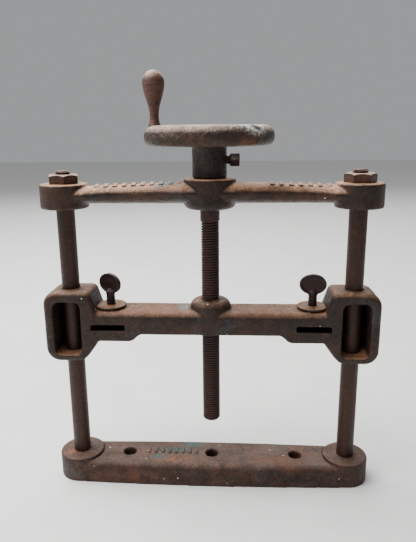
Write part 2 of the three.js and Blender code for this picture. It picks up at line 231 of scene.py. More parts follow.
def capped(bm):
    """Closes the open cuts of a solid."""
    bmesh.ops.holes_fill(bm, edges=[e for e in bm.edges if e.is_boundary], sides=0)
    bmesh.ops.recalc_face_normals(bm, faces=bm.faces)
    return bm


def moved(bm, x=0.0, y=0.0, z=0.0):
    """Moves a solid."""
    bmesh.ops.translate(bm, vec=(x, y, z), verts=bm.verts)
    return bm


def turned(bm, angle, axis, centre=(0, 0, 0)):
    """Turns a solid by an angle in degrees."""
    bmesh.ops.rotate(bm, verts=bm.verts, cent=centre, matrix=Matrix.Rotation(math.radians(angle), 3, axis))
    return bm


def mirrored(bm):
    """The other-hand copy of a solid, across x = 0."""
    other = bm.copy()
    bmesh.ops.scale(other, vec=(-1, 1, 1), verts=other.verts)
    bmesh.ops.reverse_faces(other, faces=other.faces)
    return other


def both(bm):
    """A right-hand solid and its left-hand copy."""
    return [bm, mirrored(bm)]


def combined(parts):
    """Several solids in one bmesh."""
    bm = bmesh.new()
    for part in parts:
        mesh = bpy.data.meshes.new("part")
        part.to_mesh(mesh)
        bm.from_mesh(mesh)
        bpy.data.meshes.remove(mesh)
        part.free()
    return bm


def as_object(name, bm):
    """An object in the scene with the bmesh as its mesh."""
    mesh = bpy.data.meshes.new(name)
    bm.to_mesh(mesh)
    bm.free()
    obj = bpy.data.objects.new(name, mesh)
    bpy.context.scene.collection.objects.link(obj)
    return obj


def baked(obj):
    """Applies an object's modifiers and gives its mesh back as a bmesh. The object is removed."""
    graph = bpy.context.evaluated_depsgraph_get()
    bm = bmesh.new()
    bm.from_object(obj, graph)
    mesh = obj.data
    bpy.data.objects.remove(obj)
    bpy.data.meshes.remove(mesh)
    return bm


def fused(parts, grain, passes):
    """One skin round overlapping solids. Smoothing passes leave the small fillets of a casting."""
    obj = as_object("fused", combined(parts))
    skin = obj.modifiers.new("skin", "REMESH")
    skin.mode = "VOXEL"
    skin.voxel_size = grain
    fillets = obj.modifiers.new("fillets", "SMOOTH")
    fillets.factor = 0.5
    fillets.iterations = passes
    return baked(obj)


def worked(bm, tools, operation):
    """A solid after a boolean operation with some tools, with crisp edges."""
    obj = as_object("body", bm)
    tool = as_object("tools", combined(tools))
    boolean = obj.modifiers.new("worked", "BOOLEAN")
    boolean.operation = operation
    boolean.solver = "EXACT"
    boolean.object = tool
    result = baked(obj)
    tool_mesh = tool.data
    bpy.data.objects.remove(tool)
    bpy.data.meshes.remove(tool_mesh)
    return result


def cut(bm, tools):
    """Cuts drilled, bored or sawn shapes out of a solid."""
    return worked(bm, tools, "DIFFERENCE")


def common(bm, other):
    """What two solids share."""
    return worked(bm, [other], "INTERSECT")


def rough_cast(bm, wave, depth, seed):
    """Sinks the skin a little by smooth noise, as a sand casting is never flat."""
    bm.normal_update()
    offset = Vector((seed * 17.0, seed * 5.0, seed * 11.0))
    for v in bm.verts:
        broad = noise.noise(v.co / wave + offset)
        fine = noise.noise(v.co / (wave * 0.3) - offset)
        v.co -= v.normal * depth * (0.5 + 0.35 * broad + 0.3 * fine)
    return bm


def helix(radius, depth, pitch, low, high, steps=36):
    """A screw thread on Z, cut off square at both ends."""
    turns = math.ceil((high - low) / pitch) + 2
    crest, flank = pitch * CREST_SHARE, pitch * FLANK_SHARE
    root = radius - depth
    profile = [(root, 0), (radius, flank), (radius, flank + crest), (root, 2 * flank + crest), (root, pitch)]
    bm = bmesh.new()
    verts = [bm.verts.new((r, 0, z + low - pitch)) for r, z in profile]
    edges = [bm.edges.new(pair) for pair in zip(verts, verts[1:])]
    bmesh.ops.spin(bm, geom=verts + edges, cent=(0, 0, 0), axis=(0, 0, 1), dvec=(0, 0, pitch / steps),
                   angle=math.tau * turns, steps=steps * turns, use_merge=False, use_duplicate=False)
    bmesh.ops.remove_doubles(bm, verts=bm.verts, dist=1e-3)
    sliced(bm, (0, 0, low), (0, 0, -1))
    sliced(bm, (0, 0, high), (0, 0, 1))
    return capped(bm)


def finished(name, bm, body, stands_for, materials, smooth_angle=40.0):
    """Scales a shape to metres and makes it a piece that rides on its body in place of CAD nodes."""
    bmesh.ops.scale(bm, vec=(MM, MM, MM), verts=bm.verts)
    bmesh.ops.triangulate(bm, faces=[f for f in bm.faces if len(f.verts) > 4])
    bm.normal_update()
    crease = math.radians(smooth_angle)
    for face in bm.faces:
        face.smooth = True
    for edge in bm.edges:
        edge.smooth = not (edge.is_manifold and edge.calc_face_angle() > crease)
    obj = as_object(name, bm)
    for material in materials:
        obj.data.materials.append(material)
    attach(obj, body)
    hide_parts(*stands_for)
    return obj


# Materials


def linear(code):
    """An sRGB hex colour as linear RGBA."""
    parts = [int(code[i:i + 2], 16) / 255 for i in (0, 2, 4)]
    return (*[c / 12.92 if c <= 0.04045 else ((c + 0.055) / 1.055) ** 2.4 for c in parts], 1.0)


def per_mm(size):
    """A texture scale whose features are about this many millimetres across."""
    return 1 / (size * MM)


def add(tree, kind, inputs=None, **settings):
    """Adds a node, sets its properties, and fills its inputs with values or other nodes' outputs."""
    node = tree.nodes.new(kind)
    for key, value in settings.items():
        setattr(node, key, value)
    for key, value in (inputs or {}).items():
        if isinstance(value, bpy.types.NodeSocket):
            tree.links.new(value, node.inputs[key])
        else:
            node.inputs[key].default_value = value
    return node


def surface(name, metallic, roughness, shine=0.5):
    """A new material with its shader's fixed values set, its tree, and its object coordinates."""
    material = bpy.data.materials.new(name)
    material.use_nodes = True
    tree = material.node_tree
    shader = tree.nodes["Principled BSDF"]
    shader.inputs["Metallic"].default_value = metallic
    shader.inputs["Roughness"].default_value = roughness
    shader.inputs["Specular IOR Level"].default_value = shine
    place = add(tree, "ShaderNodeTexCoord").outputs["Object"]
    return material, tree, shader, place


def patches(tree, place, size, low, high, detail=4.0, swirl=0.0):
    """A mask from 0 to 1 of soft-edged patches of a given size in millimetres."""
    spots = add(tree, "ShaderNodeTexNoise", {
        "Vector": place, "Scale": per_mm(size), "Detail": detail, "Roughness": 0.6,
        "Distortion": swirl}, normalize=True)
    ramp = add(tree, "ShaderNodeMapRange", {
        "Value": spots.outputs["Fac"], "From Min": low, "From Max": high})
    return ramp.outputs["Result"]


def times(tree, a, b):
    """Two masks multiplied, or a mask and a share."""
    return add(tree, "ShaderNodeMath", {0: a, 1: b}, operation="MULTIPLY").outputs[0]


def over(tree, mask, below, above):
    """One colour laid over another through a mask."""
    mix = add(tree, "ShaderNodeMix", {"Factor": mask, 6: below, 7: above}, data_type="RGBA")
    return mix.outputs[2]


def round_place(tree, place, centre, reach):
    """A mask that is 1 at a place on the piece and falls to 0 at a reach in millimetres (one for each axis)."""
    local = add(tree, "ShaderNodeMapping", {
        "Vector": place, "Location": Vector(centre) * MM, "Scale": Vector(reach) * MM}, vector_type="TEXTURE")
    return add(tree, "ShaderNodeTexGradient", {"Vector": local.outputs[0]},
               gradient_type="QUADRATIC_SPHERE").outputs["Fac"]


def facing_up(tree, low, high):
    """A mask of the surface that faces the sky."""
    normal = add(tree, "ShaderNodeNewGeometry").outputs["Normal"]
    up = add(tree, "ShaderNodeSeparateXYZ", {0: normal}).outputs["Z"]
    return add(tree, "ShaderNodeMapRange", {"Value": up, "From Min": low, "From Max": high}).outputs["Result"]


def iron(name, dark, mid, rust, rust_share, paint, paint_share, dust_and_sheen, dust_and_sheen_share, spots,
         gloss=(0.5, 0.75), grit=0.9, bump=0.3):
    """Sand-cast iron that has stood outdoors. The mould's sand leaves a matt, finely pitted skin; brown oxide
    covers it, with orange bloom in places, scraps of old paint, pale dust and a painted sheen where it faces
    up, and a few light flecks. Each spot is a mark of its own, mostly stains and paint, in places painted
    shade: colour, share, centre, reach and grain in millimetres."""
    material, tree, shader, place = surface(name, 0.1, 0.7, 0.3)
    tone = patches(tree, place, 11, 0.34, 0.68, 6.0, 0.4)
    colour = over(tree, tone, linear(dark), linear(mid))
    # oxide mottling, fine enough to read as grain
    mottle = patches(tree, place, 2.2, 0.38, 0.66, 5.0)
    colour = over(tree, times(tree, mottle, 0.55), colour, linear(dark))
    bloom = times(tree, patches(tree, place, 26, 0.5, 0.68, 6.0, 0.8),
                  patches(tree, place, 3.0, 0.35, 0.65))
    colour = over(tree, times(tree, bloom, rust_share), colour, linear(rust))
    scraps = times(tree, patches(tree, place, 30, 0.58, 0.64, 8.0, 0.6),
                   patches(tree, place, 2.6, 0.38, 0.5))
    colour = over(tree, times(tree, scraps, paint_share), colour, linear(paint))
    # pale dust and a painted sheen lie where the skin faces up, broken by the grain
    speckle = times(tree, patches(tree, place, 1.5, 0.2, 0.7, 3.0),
                    patches(tree, place, 12, 0.12, 0.62, 5.0, 0.5))
    dust_and_sheen_on_top = times(tree, facing_up(tree, 0.3, 0.95), speckle)
    colour = over(tree, times(tree, dust_and_sheen_on_top, dust_and_sheen_share), colour, linear(dust_and_sheen))
    # spots: mostly stains and paint, in places painted shade
    for stain_and_shade_colour, share, centre, reach, grain in spots:
        here = times(tree, round_place(tree, place, centre, reach), 2.2)
        if grain:
            here = times(tree, here, patches(tree, place, grain, 0.4, 0.55, 5.0, 0.5))
        stain_and_shade_mask = add(tree, "ShaderNodeMath", {0: here, 1: share}, operation="MULTIPLY",
                      use_clamp=True).outputs[0]
        colour = over(tree, stain_and_shade_mask, colour, linear(stain_and_shade_colour))
    # light flecks about a millimetre across and some centimetres apart
    ragged = add(tree, "ShaderNodeTexNoise", {"Vector": place, "Scale": per_mm(1.6), "Detail": 2.0})
    shifted = add(tree, "ShaderNodeVectorMath", {
        0: ragged.outputs["Color"], 1: (2 * MM, 2 * MM, 2 * MM), 2: place}, operation="MULTIPLY_ADD")
    cells = add(tree, "ShaderNodeTexVoronoi", {
        "Vector": shifted.outputs[0], "Scale": per_mm(10)}, feature="F1")
    near = add(tree, "ShaderNodeMath", {0: cells.outputs["Distance"], 1: 0.06}, operation="LESS_THAN")
    pick = add(tree, "ShaderNodeSeparateColor", {0: cells.outputs["Color"]})
    some = add(tree, "ShaderNodeMath", {0: pick.outputs["Red"], 1: 0.6}, operation="GREATER_THAN")
    colour = over(tree, times(tree, near.outputs[0], some.outputs[0]), colour, linear("cfc4b2"))
    tree.links.new(colour, shader.inputs["Base Color"])
    # sand grain and shallow pits
    sand = add(tree, "ShaderNodeTexNoise", {
        "Vector": place, "Scale": per_mm(grit), "Detail": 4.0, "Roughness": 0.65})
    pits = add(tree, "ShaderNodeTexVoronoi", {"Vector": place, "Scale": per_mm(3.2)}, feature="SMOOTH_F1")
    height = add(tree, "ShaderNodeMath", {0: pits.outputs["Distance"], 1: 0.5, 2: sand.outputs["Fac"]},
                 operation="MULTIPLY_ADD")
    relief = add(tree, "ShaderNodeBump", {
        "Strength": 1.0, "Distance": bump * MM, "Height": height.outputs[0]})
    tree.links.new(relief.outputs["Normal"], shader.inputs["Normal"])
    worn = add(tree, "ShaderNodeMapRange", {"Value": mottle, "To Min": gloss[0], "To Max": gloss[1]})
    tree.links.new(worn.outputs["Result"], shader.inputs["Roughness"])
    return material


def steel(name, dark, mid, rust, dust_and_sheen, stretch=(1, 1, 1), grit=0.6, bump=0.12, crest=None):
    """Steel under an even brown oxide. Handling keeps it smoother than the castings, so it has a dull sheen
    with darker streaks, drawn out by stretch. On a thread, crest gives the two radii in millimetres between
    which the groove's colour fades, and that colour."""
    material, tree, shader, place = surface(name, 0.2, 0.5, 0.35)
    drawn = add(tree, "ShaderNodeMapping", {"Vector": place, "Scale": stretch}, vector_type="POINT").outputs[0]
    streaks = patches(tree, drawn, 5, 0.34, 0.66, 5.0)
    colour = over(tree, streaks, linear(dark), linear(mid))
    freckles = patches(tree, place, 1.6, 0.52, 0.66, 4.0)
    colour = over(tree, times(tree, freckles, 0.6), colour, linear(rust))
    if crest:
        # dirt and painted shade darken the thread's grooves, fading out towards the crests
        across = add(tree, "ShaderNodeMapping", {
            "Vector": place, "Scale": (1, 1, 0)}, vector_type="POINT").outputs[0]
        far = add(tree, "ShaderNodeVectorMath", {0: across}, operation="LENGTH").outputs["Value"]
        groove_shade_fade = add(tree, "ShaderNodeMapRange", {
            "Value": far, "From Min": crest[0] * MM, "From Max": crest[1] * MM}).outputs["Result"]
        colour = over(tree, groove_shade_fade, linear(crest[2]), colour)
    # pale dust and a painted sheen where the steel faces up
    dust_and_sheen_on_top = times(tree, facing_up(tree, 0.3, 1.0), patches(tree, place, 1.4, 0.15, 0.6, 3.0))
    colour = over(tree, times(tree, dust_and_sheen_on_top, 0.7), colour, linear(dust_and_sheen))
    tree.links.new(colour, shader.inputs["Base Color"])
    grain = add(tree, "ShaderNodeTexNoise", {
        "Vector": place, "Scale": per_mm(grit), "Detail": 4.0, "Roughness": 0.6})
    relief = add(tree, "ShaderNodeBump", {
        "Strength": 1.0, "Distance": bump * MM, "Height": grain.outputs["Fac"]})
    tree.links.new(relief.outputs["Normal"], shader.inputs["Normal"])
    gloss = add(tree, "ShaderNodeMapRange", {"Value": streaks, "To Min": 0.38, "To Max": 0.62})
    tree.links.new(gloss.outputs["Result"], shader.inputs["Roughness"])
    return material


# Marks on the colour: colour, share, centre, reach and grain in millimetres. A grain of 0 leaves a mark
# unbroken. Most are stains and paint; the rest are noted where they stand.
BASE_SPOTS = [
    ("7d4f36", 0.6, (-34, -12, BASE_BAR_Z), (34, 11, 12), 4.0),
    ("3a5654", 0.8, (-20, 14, BASE_BAR_Z), (22, 8, 6), 3.5),
    ("355453", 0.9, (-50, -8, BASE_BAR_Z), (13, 7, 6), 3.5),
    ("3a5654", 0.6, (-34, 4, BASE_BAR_Z), (30, 7, 5), 2.4),
    ("7f4d32", 0.6, (-ROD_X - 9, -7, BASE_BOSS_Z), (9, 10, 6), 2.5),
    ("6b412a", 0.5, (62, -10, BASE_BAR_Z), (40, 14, 10), 5.0),
    # near-black towards the foot of the base at the front right
    ("14100e", 0.7, (78, -28, 8), (70, 20, 16), 7.0),
    ("5f3a26", 0.6, (-70, -28, 8), (50, 20, 16), 5.0),
]
BAR_SPOTS = [
    ("5d7478", 0.9, (-36, -4, CENTRE_TOP_Z - 4), (22, 12, 7), 2.4),
    # lighter on the left arm's front
    ("9a7059", 0.6, (-62, -8, CENTRE_TOP_Z - 8), (26, 8, 8), 3.0),
    # darker towards the foot of the bosses at the front
    ("1a1310", 0.8, (-24, -16, CENTRE_FOOT_Z + 10), (10, 9, 9), 2.0),
    ("1a1310", 0.6, (0, -20, CENTRE_FOOT_Z + 8), (34, 16, 20), 6.0),
    ("1c1512", 0.6, (ROD_X, -20, END_FOOT_Z + 8), (34, 20, 18), 6.0),
]
HEAD_SPOTS = [
    ("6f8583", 0.8, (-24, 2, HEAD_Z + 14), (10, 14, 5), 2.4),
    ("7b5f49", 0.6, (-ROD_X, -2, HEAD_LOW.z + 6), (16, 20, 9), 2.0),
    ("7b5f49", 0.6, (ROD_X, -2, HEAD_LOW.z + 6), (16, 20, 9), 2.0),
    ("7b4a32", 0.6, (-52, -10, HEAD_Z + 14), (34, 16, 5), 3.0),
    ("7b4a32", 0.6, (46, -10, HEAD_Z + 14), (34, 16, 5), 3.0),
    ("2b1d17", 0.8, (0, -4, HEAD_Z + 22), (28, 26, 13), 8.0),
    ("3b2a22", 0.7, (-ROD_X, -6, HEAD_HIGH.z), (34, 30, 10), 8.0),
    ("3b2a22", 0.7, (ROD_X, -6, HEAD_HIGH.z), (34, 30, 10), 8.0),
]
WHEEL_SPOTS = [
    # near-black hub and inner spokes: oily grease, with painted shade under the rim
    ("0f0b09", 1.0, (0, 0, WHEEL_LOW.z + 14), (34, 34, 60), 0),
    # a near-white patch on the rim's top at the front right, with a black spot in it
    ("f8f2ea", 1.0, (36, -36, WHEEL_HIGH.z - 2), (28, 16, 9), 2.2),
    # painted shade: a dark band along the rim's front just under its top
    ("2a1f19", 0.9, (18, -42, WHEEL_HIGH.z - 4), (40, 16, 8), 3.0),
    # the black spot in the near-white patch
    ("0b0908", 1.0, (38, -34.5, WHEEL_HIGH.z - 2), (13, 7, 6), 0),
]
# sand-cast iron left to rust: matt and brown, with orange bloom and green-grey scraps of paint
BASE_IRON = iron("rusted cast iron", dark="261915", mid="483127", rust="6c3c20", rust_share=0.5,
                 paint="3a4c4c", paint_share=0.3, dust_and_sheen="83695a", dust_and_sheen_share=0.5, spots=BASE_SPOTS)
# the same iron rubbed smoother, and pale along its upper side with dust and a painted sheen
BAR_IRON = iron("worn painted cast iron", dark="1a120f", mid="412b20", rust="60361f", rust_share=0.5,
                paint="435055", paint_share=0.3, dust_and_sheen="e8b088", dust_and_sheen_share=0.95, spots=BAR_SPOTS,
                gloss=(0.36, 0.62), grit=1.2, bump=0.5)
# darker iron, as if oiled, with light dust and a painted sheen on top
HEAD_IRON = iron("weathered cast iron", dark="1c1411", mid="38271f", rust="56301c", rust_share=0.45,
                 paint="3f4849", paint_share=0.3, dust_and_sheen="a5795a", dust_and_sheen_share=0.95, spots=HEAD_SPOTS,
                 gloss=(0.45, 0.7), grit=1.2, bump=0.45)
# coarse iron polished on its high places, pale on top with dust and a painted sheen, with a near-white patch
# and a black spot at one side
WHEEL_IRON = iron("hand-worn cast iron", dark="1c130e", mid="463021", rust="704223", rust_share=0.6,
                  paint="4d5252", paint_share=0.2, dust_and_sheen="ecccb4", dust_and_sheen_share=0.9, spots=WHEEL_SPOTS,
                  gloss=(0.3, 0.58), grit=2.2, bump=1.5)
# turned bar, with streaks drawn out along its length
ROD_STEEL = steel("browned turned steel", dark="1b0d09", mid="361e17", rust="583019", dust_and_sheen="7d6254",
                  stretch=(1, 1, 0.12))
# cut thread, black between its crests with dirt and painted shade
SCREW_STEEL = steel("browned threaded steel", dark="1c0e0d", mid="3c201f", rust="4c2a20", dust_and_sheen="6a4e44",
                    crest=(6.8, 7.7, "090404"))
# forged steel, slightly rough from the die, dark where it is handled and pale on top of the nuts with dust and
# a painted sheen
THUMB_STEEL = steel("browned forged steel", dark="180d0c", mid="2b1916", rust="3c221a", dust_and_sheen="513c34",
                    grit=0.9, bump=0.2)
NUT_STEEL = steel("rusted forged steel", dark="281a15", mid="4a3228", rust="5f3c29", dust_and_sheen="c8a48e",
                  grit=0.9, bump=0.2)
# a turned grip, pitted, with fine lines round it, pale on top with dust and a painted sheen
HANDLE_IRON = steel("turned handle iron", dark="33211a", mid="5c3e33", rust="6e4a3c", dust_and_sheen="e0bca6",
                    stretch=(0.3, 0.3, 2.5), grit=1.7, bump=0.6)


def slot_painted_shade():
    """Near-black painted shade on the walls of the tool slots, matt and nearly without colour."""
    material, tree, shader, place = surface("slot wall painted shade", 0.0, 0.9, 0.1)
    shade_mottle = patches(tree, place, 2.0, 0.3, 0.7, 3.0)
    tree.links.new(over(tree, shade_mottle, linear("060505"), linear("110d0b")), shader.inputs["Base Color"])
    return material


SLOT_PAINTED_SHADE = slot_painted_shade()


# Base casting


def marks(places, size, tilt=0.0):
    """A row of plain raised bars, all alike, where the pattern carried its marks."""
    bars = []
    for place in places:
        bar = block(size, (0, 0, 0))
        rounded(bar, bar.edges[:], 0.6, 2)
        bars.append(moved(turned(bar, tilt, "X"), *place))
    return bars


def step_groove():
    """The narrow corner that a core leaves at the foot of a base boss, on its inboard side."""
    foot = BASE_BAR_Z - 0.5
    bm = spun([(BASE_BOSS_R - 0.1, foot), (BASE_BOSS_R + 0.7, foot), (BASE_BOSS_R + 1.3, BASE_BAR_Z + 4),
               (BASE_BOSS_R - 0.3, BASE_BAR_Z + 4)], 96)
    return moved(capped(sliced(bm, (-4, 0, 0), (1, 0, 0))), ROD_X)


def base_casting():
    """The bar that the press stands on, with a boss at each end and three bolt holes."""
    length, slices = 2 * ROD_X, 16
    bar = block((length, 2 * BASE_BOSS_R, BASE_BAR_Z), (0, 0, BASE_BAR_Z / 2))
    for i in range(1, slices):
        sliced(bar, (length * (i / slices - 0.5), 0, 0), (1, 0, 0), clear=False)
    for v in bar.verts:
        v.co.y *= 1 + BASE_BOW / BASE_BOSS_R * (1 - (v.co.x / ROD_X) ** 2)
        v.co.y *= BASE_DRAFT if v.co.z > 1 else 1
    top_edges = level(bar, BASE_BAR_Z)
    long_top = [e for e in reaching(bar, 0, 1) if e in top_edges and e.verts[0].co.y * e.verts[1].co.y > 0]
    rounded(bar, long_top, BASE_EDGE, 5)
    boss = spun([(0, 0), (BASE_BOSS_R, 0), (BASE_BOSS_R, BASE_BOSS_Z - 0.5),
                 (BASE_BOSS_R - 0.5, BASE_BOSS_Z), (0, BASE_BOSS_Z)], 96)
    skin = fused([bar, *both(moved(boss, ROD_X))], CASTING_SKIN, 8)
    body = rough_cast(skin, wave=22, depth=0.3, seed=1)
    # drilled through, with the upper rim worn round
    hole = [(0, -5), (BASE_HOLE_R, -5), (BASE_HOLE_R, BASE_BAR_Z - 2.2),
            (BASE_HOLE_R + 0.2, BASE_BAR_Z - 1.2), (BASE_HOLE_R + 0.8, BASE_BAR_Z - 0.5),
            (BASE_HOLE_R + 1.6, BASE_BAR_Z + 0.3), (0, BASE_BAR_Z + 0.3)]
    tools = [moved(spun(hole, 48), x * BASE_HOLE_PITCH) for x in (-1, 0, 1)]
    tools += both(moved(rod(STUD_HOLE_R, -5, BASE_BOSS_Z + 5), ROD_X))
    tools += both(moved(rod(NUT_RECESS_R, -5, NUT_RECESS_Z), ROD_X))
    tools += both(step_groove())
    # between the left and the middle hole
    row = marks([(-61 + i * 6.6, 2.5, BASE_BAR_Z - 0.4) for i in range(8)], BASE_MARK)
    return combined([cut(body, tools), *row])


# Top bar


def arm_radius(x):
    """Half the arm's height at a distance from the middle of the bar."""
    return ARM_ROOT_R + (ARM_TIP_R - ARM_ROOT_R) * abs(x) / ROD_X


def arm():
    """The right-hand oval arm. It tapers with its underside level, and widens where it runs into a boss."""
    steps = 40
    profile = [(arm_radius(ROD_X * i / steps), ROD_X * i / steps) for i in range(steps + 1)]
    bm = turned(spun([(0, 0), *profile, (0, ROD_X)], 48), 90, "Y")
    for v in bm.verts:
        to_centre = max(0.0, v.co.x - CENTRE_R)
        to_end = max(0.0, ROD_X - TOP_BOSS_R - v.co.x)
        v.co.y *= ARM_WIDTH * (1 + 0.5 * math.exp(-to_centre / 9) + 0.6 * math.exp(-to_end / 10))
        v.co.z += ARM_FOOT_Z + arm_radius(v.co.x)
    return bm


def top_bar():
    """The yoke that holds the screw up: a centre boss, two oval arms and an end boss on each rod."""
    ends = spun([(0, END_FOOT_Z), (TOP_BOSS_R - 1.0, END_FOOT_Z), (TOP_BOSS_R - 0.1, END_FOOT_Z + 1.0),
                 (TOP_BOSS_R - 0.1, TOP_BOSS_Z - 1.2), (TOP_BOSS_R - 1.2, TOP_BOSS_Z), (0, TOP_BOSS_Z)], 96)
    centre = spun([
        (0, CENTRE_FOOT_Z), (CENTRE_R - 5, CENTRE_FOOT_Z), (CENTRE_R - 2.5, CENTRE_FOOT_Z + 0.7),
        (CENTRE_R - 0.7, CENTRE_FOOT_Z + 2.5), (CENTRE_R, CENTRE_FOOT_Z + 5), (CENTRE_R, CENTRE_TOP_Z - 0.9),
        (CENTRE_R - 0.9, CENTRE_TOP_Z), (0, CENTRE_TOP_Z)], 96)
    parts = [centre, *both(moved(ends, ROD_X)), *both(arm())]
    body = rough_cast(fused(parts, CASTING_SKIN, 4), wave=18, depth=0.25, seed=2)
    tools = [rod(JOURNAL_R + RUNNING_ROOM, CENTRE_FOOT_Z - 5, CENTRE_TOP_Z + 5)]
    tools += both(moved(rod(STUD_HOLE_R, END_FOOT_Z - 5, TOP_BOSS_Z + 5), ROD_X))
    places = [(x, -3.0, ARM_FOOT_Z + 2 * arm_radius(x) - 0.9)
              for x in [-97 + i * 8.0 for i in range(10)] + [53 + i * 8.0 for i in range(7)]]
    return combined([cut(body, tools), *marks(places, ARM_MARK, 12)])


# Crosshead


def end_box():
    """The right end box, with its pocket open at the front and drafted towards its closed back."""
    outer, inner = HEAD_HIGH.x, ROD_X - 14.5
    top, foot = HEAD_HIGH.z - HEAD_Z, HEAD_LOW.z - HEAD_Z
    outline = [(inner + 4, foot), (outer, foot), (outer, top), (inner - 5.5, top),
               (inner - 11, 15.5), (inner - 13, 5), (inner - 13, -13), (inner - 2, foot + 4.5)]
    bm = slab(outline, -HEAD_DEPTH, HEAD_DEPTH)
    outboard = [e for e in upright(bm) if e.verts[0].co.x > outer - 2]
    rounded(bm, outboard, 12.5, 8)
    inboard = [e for e in upright(bm) if e.verts[0].co.x < inner + 5 and abs(e.verts[0].co.y) > 25]
    rounded(bm, inboard, 6.5, 5)
    rounded(bm, level(bm, -HEAD_DEPTH) + level(bm, HEAD_DEPTH), 5, 5, clamp=False)
    pocket = slab(oblong(12.3, 24.7), BACK_WALL - HEAD_DEPTH, HEAD_DEPTH + 4)
    for v in pocket.verts:
        if v.co.z < 0:
            v.co.x *= 0.88
            v.co.y *= 0.93
    rounded(pocket, reaching(pocket, 2, 20), 5, 6)
    rounded(pocket, level(pocket, BACK_WALL - HEAD_DEPTH), 3, 4)
    # the outline was drawn flat; turning it up leaves the pocket open towards -Y
    return turned(cut(bm, [moved(pocket, ROD_X + 0.6, -1.6)]), 90, "X")


def swell():
    """The deeper stretch of bar round the right tool slot."""
    near = SLOT_X - 30
    outline = [(near, -6.5), (near + 3.5, -8.4), (near + 7.5, -12.2), (near + 11, -13.5), (BAR_END_X, -13.5),
               (BAR_END_X, 4), (near, 4)]
    face = HEAD_DEPTH - HEAD_INSET
    bm = slab(outline, -face, face)
    rounded(bm, level(bm, -face) + level(bm, face), 2.5, 4)
    return turned(bm, 90, "X")


def seat_disc():
    """The thin machined seat that stands under the right thumb screw."""
    return moved(spun([(THUMB_HOLE_R, 12), (11.5, 12), (12.6, 14.7), (13.8, 15.1), (14, 15.5), (14, 16.4),
                       (13.5, 16.9), (THUMB_HOLE_R, 17)], 96), SLOT_X)


def crosshead():
    """The travelling bar, with its domed nut boss, end boxes, tool slots and thumb screw seats."""
    foot, top = -7, 14
    bar = block((2 * BAR_END_X, 2 * HEAD_DEPTH - 2 * HEAD_INSET, top - foot), (0, 0, (top + foot) / 2))
    rounded(bar, [e for e in reaching(bar, 0, 50) if e.verts[0].co.z > 0], 6.0, 6)
    rounded(bar, [e for e in reaching(bar, 0, 50) if all(v.co.z < foot + 0.1 for v in e.verts)], 3.0, 4)
    turns = [math.radians(a) for a in range(0, 91, 15)]
    dome = [(11.4 + 7 * math.cos(a), 16 + 7 * math.sin(a)) for a in turns]
    nut_boss = spun([(0, foot), (18.4, foot), *dome, (0, 23)], 96)
    parts = [bar, nut_boss, *both(end_box()), *both(swell())]
    body = rough_cast(fused(parts, HEAD_SKIN, 4), wave=20, depth=0.3, seed=3)
    slot = slab(oblong(SLOT_HALF_LENGTH, SLOT_HALF_HEIGHT), -HEAD_DEPTH - 5, HEAD_DEPTH + 5)
    rounded(slot, upright(slot), 1.2, 3)
    tools = both(moved(turned(slot, 90, "X"), SLOT_X))
    tools += both(moved(rod(ROD_R + ROD_ROOM, -60, 60), ROD_X))
    tools += both(moved(rod(THUMB_HOLE_R, 0, 40), SLOT_X))
    tools.append(rod(THREAD_R + RUNNING_ROOM, -40, 60))
    body = cut(body, tools)
    body.normal_update()
    # the slots' walls take the second material, the painted shade
    for face in body.faces:
        middle = face.calc_center_median()
        if (abs(face.normal.y) < 0.5 and abs(middle.z) < SLOT_HALF_HEIGHT + 0.1
                and abs(abs(middle.x) - SLOT_X) < SLOT_HALF_LENGTH + 0.1):
            face.material_index = 1
    return moved(combined([body, *both(seat_disc())]), 0, 0, HEAD_Z)


# Handwheel and handle


def handwheel():
    """The wheel: a rim with a round upper and a squarer lower side, four oval spokes and a long hub."""
    hub_z, rim_top = WHEEL_LOW.z, WHEEL_HIGH.z
    rim_w, rim_h, hub_h, spokes = 18.0, 17.0, 40, 4
    mid = rim_top + 0.2 - rim_h / 2
    rim_r = WHEEL_HIGH.x + 0.1 - rim_w / 2
    ring = bmesh.new()
    bmesh.ops.create_circle(ring, cap_ends=False, segments=36, radius=1)
    bmesh.ops.rotate(ring, verts=ring.verts, cent=(0, 0, 0), matrix=Matrix.Rotation(math.pi / 2, 3, "X"))
    for v in ring.verts:
        if v.co.z < 0:
            # pushed out from a circle towards a square
            v.co *= (abs(v.co.x) ** 3 + abs(v.co.z) ** 3) ** (-1 / 3)
    bmesh.ops.scale(ring, vec=(rim_w / 2, 1, rim_h / 2), verts=ring.verts)
    moved(ring, rim_r, 0, mid)
    full_turn(ring, ring.verts[:] + ring.edges[:], 120)
    hub_top = hub_z + hub_h
    hub = spun([(0, hub_z), (14.5, hub_z), (14.8, hub_z + 0.4), (14.8, hub_top - 1.5), (13.4, hub_top),
                (0, hub_top)], 96)
    parts = [ring, hub]
    for i in range(spokes):
        spoke = spun([(0, 0), (1.15, 0), (0.92, rim_r * 0.35), (0.9, rim_r * 0.6), (1.1, rim_r * 0.9),
                      (0, rim_r * 0.95)], 32)
        bmesh.ops.scale(spoke, vec=(4.5, 7, 1), verts=spoke.verts)
        parts.append(turned(moved(turned(spoke, 90, "Y"), 0, 0, mid), 360 / spokes * i, "Z"))
    body = rough_cast(fused(parts, CASTING_SKIN, 3), wave=7, depth=0.35, seed=4)
    tapped = turned(rod(3.75, 0, 25), 90, "Y")
    return cut(body, [rod(JOURNAL_R + RUNNING_ROOM, hub_z - 5, hub_top + 5),
                      moved(tapped, 0, 0, (SET_LOW.z + SET_HIGH.z) / 2)])


